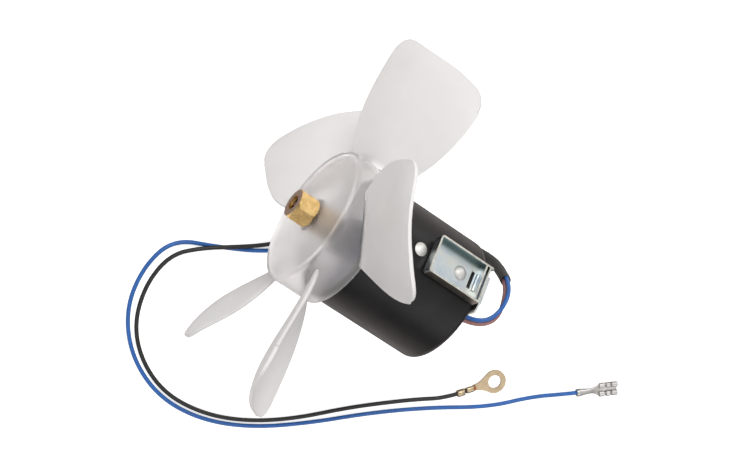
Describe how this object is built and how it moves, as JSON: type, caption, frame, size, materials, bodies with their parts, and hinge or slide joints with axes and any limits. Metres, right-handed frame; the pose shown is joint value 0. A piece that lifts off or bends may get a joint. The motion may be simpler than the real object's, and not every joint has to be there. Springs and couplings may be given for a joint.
{
  "type": "heater fan motor",
  "caption": "Small motor in a round steel can with a bladed plastic fan on its shaft, a riveted clip bracket and two leads ending in spade and ring terminals.",
  "frame": {"origin": "on the motor's axis, at the middle of the can's length", "axes": "+X along the shaft towards the fan and its nut, +Z square to the shaft, with the bracket on the side between +Z and -Y"},
  "size_m": [0.2677, 0.2184, 0.1962],
  "materials": {
    "black_steel": "matt black stove enamel on drawn steel",
    "zinc_steel": "bright zinc plate on folded sheet",
    "spring_steel": "plain spring steel",
    "rivet_steel": "dull zinc",
    "shaft_steel": "ground steel",
    "lamination_steel": "stacked laminations",
    "bronze": "sintered, oil filled",
    "brass": "plain brass",
    "nut_brass": "machined brass",
    "tinned_brass": "tin plate",
    "enamelled_copper": "enamelled wire",
    "commutator_copper": "turned copper",
    "ferrite": "sintered ferrite",
    "carbon": "pressed carbon",
    "phenolic": "paper laminate",
    "felt": "oiled felt",
    "fan_plastic": "translucent moulded polypropylene",
    "blue_pvc": "satin insulation",
    "brown_pvc": "satin insulation",
    "black_pvc": "satin insulation",
    "sleeve_pvc": "soft black sleeving",
    "black_rubber": "moulded rubber"
  },
  "bodies": {
    "motor": {"can": "black_steel", "front_plate": "zinc_steel", "front_bearing": "bronze", "rear_bearing": "bronze", "front_oil_felt": "felt", "rear_oil_felt": "felt", "front_bearing_retainer": "spring_steel", "rear_bearing_retainer": "spring_steel", "magnet_left": "ferrite", "magnet_right": "ferrite", "magnet_spring_upper": "spring_steel", "magnet_spring_lower": "spring_steel", "can_rivet_upper": "rivet_steel", "can_rivet_lower": "rivet_steel", "brush_plate": "phenolic", "brush_box_upper": "brass", "brush_box_lower": "brass", "brush_spring_upper": "spring_steel", "brush_spring_lower": "spring_steel", "blue_lead_tag": "tinned_brass", "brown_lead_tag": "tinned_brass", "bracket_strap": "zinc_steel", "mounting_bracket": "zinc_steel", "bracket_rivet": "rivet_steel", "grommet": "black_rubber", "blue_lead": "blue_pvc", "brown_lead": "brown_pvc", "black_lead": "black_pvc", "lead_sleeve": "sleeve_pvc", "lead_splice": "tinned_brass", "ring_terminal": "brass", "spade_terminal": "tinned_brass"},
    "rotor": {"fan": "fan_plastic", "collet": "brass", "collet_nut": "nut_brass", "shaft": "shaft_steel", "armature_core": "lamination_steel", "armature_winding": "enamelled_copper", "commutator": "commutator_copper", "front_spacer": "phenolic", "front_thrust_washer": "phenolic", "rear_thrust_washer": "phenolic"},
    "brush_upper": {"brush_upper": "carbon"},
    "brush_lower": {"brush_lower": "carbon"}
  },
  "joints": [
    {"name": "fan_spin", "type": "hinge", "parent": "motor", "child": "rotor", "pos_m": [0, 0, 0], "axis": [1, 0, 0], "continuous": true},
    {"name": "brush_upper_slide", "type": "slide", "parent": "motor", "child": "brush_upper", "axis": [0, 0, 1], "range_m": [0, 0.0025], "stiffness_N_per_m": 200, "springref_m": -0.006, "deforming": ["brush_spring_upper"]},
    {"name": "brush_lower_slide", "type": "slide", "parent": "motor", "child": "brush_lower", "axis": [0, 0, -1], "range_m": [0, 0.0025], "stiffness_N_per_m": 200, "springref_m": -0.006, "deforming": ["brush_spring_lower"]}
  ]
}
